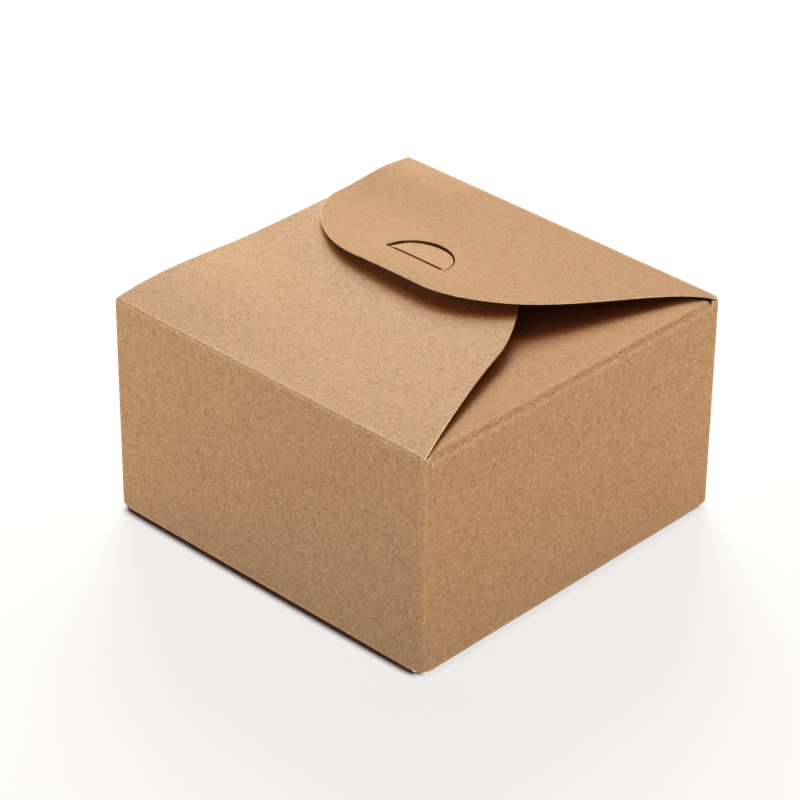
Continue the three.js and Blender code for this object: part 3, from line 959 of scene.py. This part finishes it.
def lock_and_dust_flaps():
    for flap, notch, bow, outside in (
        (FRONT_FLAP, CORNER_NOTCH, front_bow, FRONT_KRAFT),
        (REAR_FLAP, CORNER_NOTCH, rear_bow, REAR_KRAFT_SHADED),
        (LEFT_DUST, 0.0, left_dust_bow, DUST_KRAFT_SHADED),
        (RIGHT_DUST, 0.0, dust_bow, DUST_KRAFT_SHADED),
    ):
        sheet = flap_sheet(flap.node + "_board", flap, notch, bow)
        sheet.data.materials[0] = outside
        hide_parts(flap.node)
        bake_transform(sheet)


# The half-moon tongue of the rear lock flap

TONGUE_KERF = 0.25
TONGUE_PRESS = 0.55
TIP_PRESS = 0.9  # the arc's right end is pressed in further by this share of it
TIP_WIDTH = 1.6
GROOVE_WIDTH = 0.8
GROOVE_DEPTH = 0.5
GROOVE_SIDE = 0.05
BRIDGE = 1.1  # the scored line stops short of the arc's end by this much
TONGUE_STEP = 0.8


def tongue_sheet():
    """The half-moon, cut free along its arc and scored along its straight side."""
    hole = REAR_FLAP.flat(REAR_FLAP.loops[1])
    low, high = hole[:, 0].min(), hole[:, 0].max()
    chord = hole[:, 1].max()
    centre, radius = (low + high) / 2, (high - low) / 2
    angles = np.linspace(0, math.pi, 60)
    arc = np.stack([
        centre + (radius - TONGUE_KERF) * np.cos(angles), chord - (radius - TONGUE_KERF) * np.sin(angles)
    ], 1)
    groove = [chord - GROOVE_WIDTH, chord - GROOVE_WIDTH + GROOVE_SIDE, chord - GROOVE_SIDE]
    rows = spread(hole[:, 1].min(), chord - 0.6, TONGUE_STEP) + groove
    columns = spread(low, high, TONGUE_STEP)
    line = crossing(arc[-1], arc[0], columns, rows)
    outline = np.vstack([np.array(line), arc[:-1]])

    def press(along, length):
        away = np.clip((chord - length) / radius, 0, 1)
        side = 0.2 + 0.8 * smoothstep((along - low) / (0.9 * radius))
        tip = np.exp(-(((along - high) / TIP_WIDTH) ** 2))
        scored = smoothstep((along - low - BRIDGE) / 0.3)
        inside_groove = smoothstep((length - groove[0]) / GROOVE_SIDE) * scored
        return -TONGUE_PRESS * (away * side + TIP_PRESS * tip) - GROOVE_DEPTH * inside_groove

    def bow(along, length):
        return rear_bow(along, length) + press(along, length)

    start = REAR_FLAP.wall.start

    def blank(along, length):
        return start + along, REAR_FLAP.seam + STRIP + REAR_FLAP.arc + length

    # painted shade in the scored line and at the tongue's tip, where it dips into shadow
    def creases(along, length):
        scored = (along > low + BRIDGE) & (length > groove[1] - 1e-6)
        at_tip = np.exp(-(((along - high) / 1.3) ** 2) - ((length - chord) / 0.8) ** 2)
        return -np.maximum(scored, at_tip)

    def joined(along, length):
        return (np.abs(length - chord) < 1e-6).astype(float)

    place = REAR_FLAP.place(bow)
    sheet = board_sheet("lock_tongue_board", [outline], columns, rows, place, blank, creases, joined)
    sheet.data.materials[0] = REAR_KRAFT_SHADED
    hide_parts("lock_tongue")
    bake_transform(sheet)


# Base flaps


def base_stations(node, wall):
    """A base flap's underside: its distance from the wall's outer face and its height."""
    points = np.array([v.co for v in frame["nodes"][node].data.vertices]) / MM
    away = (points - wall.origin) @ wall.inward
    stations = {}
    for distance, height in zip(away.round(2), points[:, 2]):
        stations[distance] = min(stations.get(distance, math.inf), height)
    keys = sorted(stations)
    return np.array(keys), np.array([stations[k] for k in keys])


def base_sheet(node, wall):
    """A base flap's sheet, from its strip of wall round the crease and up over its neighbours."""
    _, loops = face_loops(node, (0, 0, -1), 0.97)
    distances, heights = base_stations(node, wall)
    path, arc, _ = fold_path(BASE_RADIUS, 0.0, 0.0)
    outline = np.stack([
        (loops[0] - wall.origin) @ wall.along, (loops[0] - wall.origin) @ wall.inward - BASE_RADIUS
    ], 1)[::-1]
    outline = np.roll(outline, -int(np.argmax(outline[:, 1] < ROOT_END)), 0)
    low, high = outline[:, 0].min(), outline[:, 0].max()
    kept = outline[outline[:, 1] > ROOT_END]
    foot = -arc - STRIP
    low_root, high_root = -HALF + CORNER_CUT, HALF - CORNER_CUT
    corners = [
        (low_root, -arc), (low_root, foot), (high_root, foot), (high_root, -arc),
        (high - BASE_NOTCH / 2, BASE_SHOULDER), *kept, (low + BASE_NOTCH / 2, BASE_SHOULDER),
        (low_root, -arc),
    ]
    rows = [foot] + fold_lines(-arc, arc)[1:] + spread(1.2, kept[:, 1].max(), 1.5)
    columns = spread(low, high)
    edge = crossings(corners, columns, rows)

    def climb(along, length):
        near = np.linspace(-CLIMB_EASE, CLIMB_EASE, 5)
        height = np.mean([np.interp(length + BASE_RADIUS + x, distances, heights) for x in near], 0)
        return -height * smoothstep(length)

    def placed(along, length, depth):
        x, z, nx, nz = path(length)
        lift = climb(along, length) - depth
        return (
            wall.origin
            + along[:, None] * wall.along
            + (x + nx * lift)[:, None] * wall.inward
            - (z + nz * lift)[:, None] * UP
        )

    def blank(along, length):
        return wall.start + along, -length - arc

    def creases(along, length):
        return fold_rub_and_light(length, arc)

    def joined(along, length):
        return (length < foot + ON_LINE).astype(float)

    sheet = board_sheet(node + "_board", [edge], columns, rows, placed, blank, creases, joined)
    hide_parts(node)
    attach(sheet, "box_body")


wall_sheet()
lock_and_dust_flaps()
tongue_sheet()
for base_node, base_wall in (
    ("base_lock_flap", FRONT), ("base_main_flap", BACK), ("base_right_flap", RIGHT), ("base_left_flap", LEFT),
):
    base_sheet(base_node, base_wall)


def dress(node, material):
    data = frame["nodes"][node].data
    data.materials.clear()
    data.materials.append(material)


dress("seam_glue", CUT_EDGE_HIGHLIGHTED)


# Stage

LIT_POINT = Vector((0, 0, 0.03))
FLOOR_HALF = 3.0
BOUNCE_NEAR_SHADED = (0.45, 0.26, 0.06)  # what the floor gives back to the board beside the box, darkened as a painted shadow of the box
BOUNCE_FAR = (0.85, 0.74, 0.6)  # and further off
BOUNCE_TURNS = (0.06, 0.22)  # one turns into the other between these distances, in metres
GLOW_SHARE = 0.8  # how much of the floor's white is its own glow, where no shadow shows
WHITE = (1, 1, 1)
# colour of the painted contact shadow on the floor, close around and under the box
CONTACT_SHADOW_COLOUR = (0.05, 0.02, 0.012)
CONTACT_REACH = 5.5 * MM
CAMERA_PLACE = (0.4452, -0.4709, 0.4262)
CAMERA_HEADING = Vector((-0.58887, 0.61586, -0.5234))
CAMERA_ROLL = math.radians(0.54)
CAMERA_LENS = 151.56
WORLD_FILL = (1.0, 0.24, 0.05)
WORLD_STRENGTH = 0.095


def shown_as_background(tree):
    """1 on the rays that see the background: from the camera, and by gloss or through a clear piece."""
    ray = node_of(tree, "LightPath").outputs
    return strongest(tree, [ray["Is Camera Ray"], ray["Is Glossy Ray"], ray["Is Transmission Ray"]])


def contact_shade(tree, place):
    """1 on the floor under the box and close in front of it, where no light gets in."""
    open_sky = node_of(tree, "AmbientOcclusion", {"samples": 16}, {"Distance": CONTACT_REACH})
    parts = node_of(tree, "SeparateXYZ", None, {"Vector": place}).outputs
    in_front = ramp(tree, parts["Y"], (0.6 - HALF) * MM, (1.4 - HALF) * MM, 1.0, 0.1)
    beside = maths(tree, "MULTIPLY", ramp(tree, open_sky.outputs["AO"], 0.56, 0.72, 1.0, 0.0), in_front)
    off_centre = strongest(tree, [maths(tree, "ABSOLUTE", parts[axis]) for axis in "XY"])
    under = ramp(tree, off_centre, (HALF - 1.5) * MM, (HALF - 0.5) * MM, 1.0, 0.0)
    return strongest(tree, [beside, under])


def pale_floor():
    """A floor that the camera sees as white, with the box's shadow faint on it and a painted contact shadow
    close around and under the box.
    """
    material = bpy.data.materials.new("pale_floor")
    tree = empty_tree(material)
    place = node_of(tree, "NewGeometry").outputs["Position"]
    away = node_of(tree, "VectorMath", {"operation": "LENGTH"}, {0: place}).outputs["Value"]
    bounce = colour_mix(tree, ramp(tree, away, *BOUNCE_TURNS), BOUNCE_NEAR_SHADED, BOUNCE_FAR)
    paint = node_of(tree, "BsdfDiffuse", None, {"Color": bounce})
    shaded_tone = colour_mix(tree, contact_shade(tree, place), WHITE, CONTACT_SHADOW_COLOUR)
    glow = node_of(tree, "Emission", None, {"Color": shaded_tone, "Strength": 1.0})
    bright = node_of(tree, "BsdfDiffuse", None, {"Color": shaded_tone})
    shown = node_of(tree, "MixShader", None, {0: GLOW_SHARE, 1: bright.outputs[0], 2: glow.outputs[0]})
    mixed = node_of(tree, "MixShader", None, {
        0: shown_as_background(tree), 1: paint.outputs[0], 2: shown.outputs[0],
    })
    node_of(tree, "OutputMaterial", None, {"Surface": mixed.outputs[0]})
    return material


def stage():
    mesh = bpy.data.meshes.new("floor")
    corners = [(x * FLOOR_HALF, y * FLOOR_HALF, 0) for x, y in ((-1, -1), (1, -1), (1, 1), (-1, 1))]
    mesh.from_pydata(corners, [], [(0, 1, 2, 3)])
    mesh.materials.append(pale_floor())
    floor = bpy.data.objects.new("floor", mesh)
    bpy.context.scene.collection.objects.link(floor)


def lamp(name, bearing, height, distance, size, power, colour):
    """A soft box that faces the middle of the box."""
    data = bpy.data.lights.new(name, "AREA")
    data.shape = "RECTANGLE"
    data.size, data.size_y = size
    data.energy = power
    data.color = colour
    bearing, height = math.radians(bearing), math.radians(height)
    level = math.cos(height)
    away = Vector((math.cos(bearing) * level, math.sin(bearing) * level, math.sin(height)))
    obj = bpy.data.objects.new(name, data)
    obj.location = LIT_POINT + away * distance
    obj.rotation_mode = "QUATERNION"
    obj.rotation_quaternion = (-away).to_track_quat("-Z", "Y")
    bpy.context.scene.collection.objects.link(obj)


def world():
    """A weak warm fill, seen as white."""
    made = bpy.data.worlds.new("studio")
    bpy.context.scene.world = made
    tree = empty_tree(made)
    fill = node_of(tree, "Background", None, {"Color": (*WORLD_FILL, 1), "Strength": WORLD_STRENGTH})
    white = node_of(tree, "Background", None, {"Color": (*WHITE, 1), "Strength": 1.0})
    mixed = node_of(tree, "MixShader", None, {
        0: shown_as_background(tree), 1: fill.outputs[0], 2: white.outputs[0],
    })
    node_of(tree, "OutputWorld", None, {"Surface": mixed.outputs[0]})


def camera():
    data = bpy.data.cameras.new("camera")
    data.lens = CAMERA_LENS
    data.sensor_width = 36
    data.clip_start = 0.05
    data.clip_end = 20
    obj = bpy.data.objects.new("camera", data)
    obj.location = CAMERA_PLACE
    obj.rotation_mode = "QUATERNION"
    level = CAMERA_HEADING.to_track_quat("-Z", "Y")
    obj.rotation_quaternion = level @ Quaternion((0, 0, 1), CAMERA_ROLL)
    bpy.context.scene.collection.objects.link(obj)
    bpy.context.scene.camera = obj


stage()
# Each lamp: its bearing in plan and its height above the horizon in degrees, its distance, its width and
# height in metres, its power in watts and its colour
lamp("key_core", 135, 31, 1.2, (0.6, 0.6), 16.4, (0.95, 1.29, 1.4))
lamp("key_edge", 135, 31, 1.2, (1.8, 1.6), 17.6, (1.07, 0.67, 0.34))
lamp("left_fill", 242, 1, 0.5, (0.3, 0.06), 0.74, (0.96, 0.98, 0.95))
lamp("right_rear_fill", 18, 1, 0.9, (0.6, 0.06), 3.4, (0.95, 1.02, 0.98))
lamp("right_fill", -10, 1, 0.9, (0.6, 0.06), 2.0, (0.98, 0.96, 0.82))
lamp("front_fill", -105, 1, 0.9, (0.6, 0.06), 2.15, (0.93, 1.1, 1.08))
world()
camera()
bpy.context.scene.view_settings.view_transform = "Standard"
